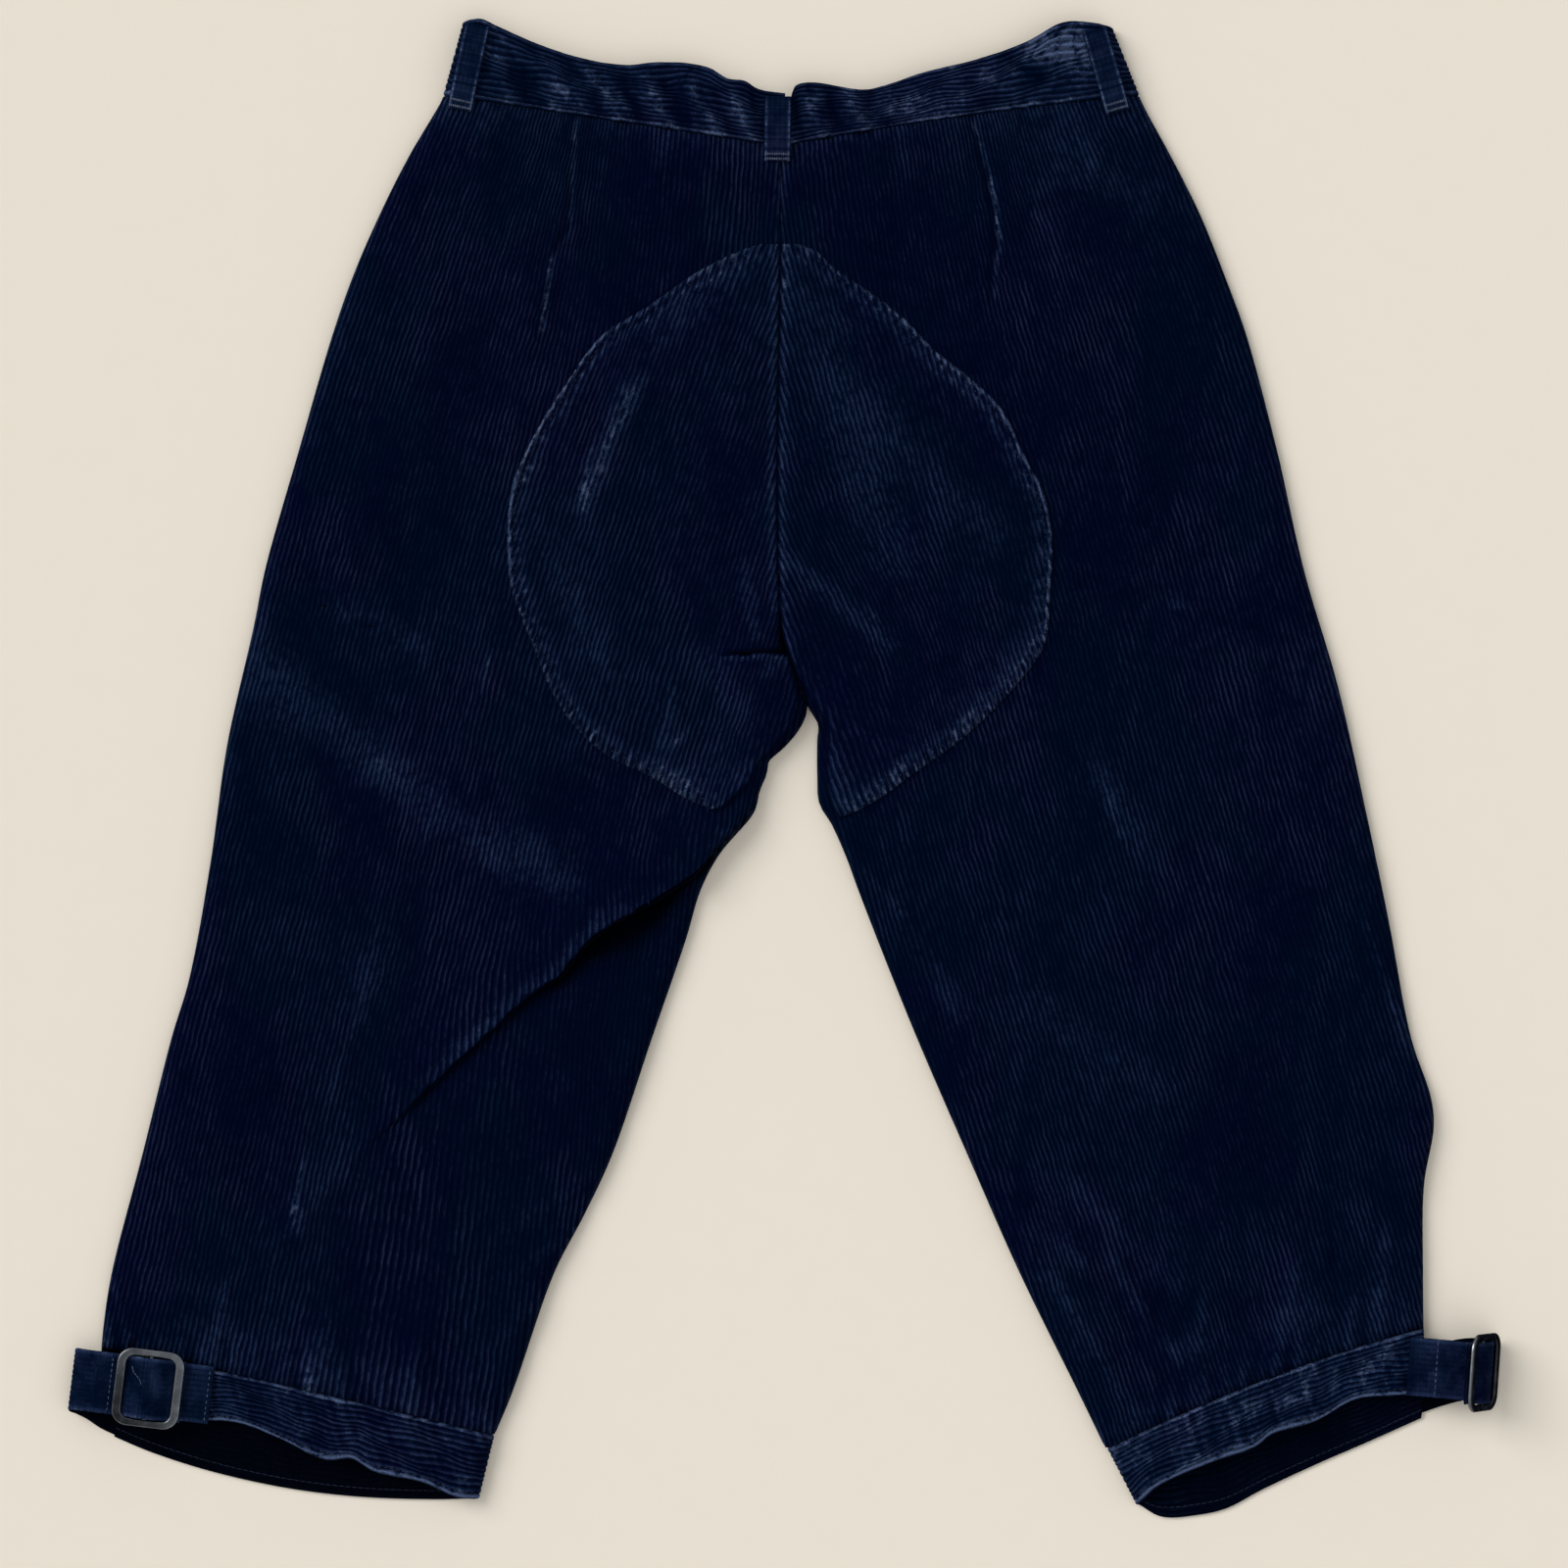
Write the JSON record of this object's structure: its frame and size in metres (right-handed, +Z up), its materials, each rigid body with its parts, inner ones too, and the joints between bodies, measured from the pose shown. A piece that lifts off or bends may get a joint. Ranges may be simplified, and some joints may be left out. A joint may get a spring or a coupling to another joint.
{
  "type": "knee breeches",
  "caption": "Navy corduroy knee breeches laid flat with the back up: shaped seat patch, waistband with belt loops, banded knees with straps through metal sliders.",
  "frame": {"origin": "middle of the garment's outline, on the surface that it lies on", "axes": "+Y from the knees to the waist, +Z up out of the back, +X towards the wearer's right side"},
  "size_m": [0.7312, 0.7643, 0.034],
  "materials": {
    "corduroy": "ribbed navy cotton pile, soft sheen",
    "slider_metal": "aged dull gunmetal"
  },
  "bodies": {
    "root": {"back_left": "corduroy", "back_right": "corduroy", "front_left": "corduroy", "front_right": "corduroy", "waistband_left": "corduroy", "waistband_right": "corduroy", "loop_left": "corduroy", "loop_centre": "corduroy", "loop_right": "corduroy", "seat_patch_left": "corduroy", "seat_patch_right": "corduroy", "knee_band_left": "corduroy", "knee_band_right": "corduroy", "strap_left": "corduroy", "strap_right": "corduroy", "slider_tab_left": "corduroy", "slider_tab_right": "corduroy", "fly_shield": "corduroy", "slider_left": "slider_metal", "slider_right": "slider_metal", "waist_hook": "slider_metal"}
  },
  "joints": []
}
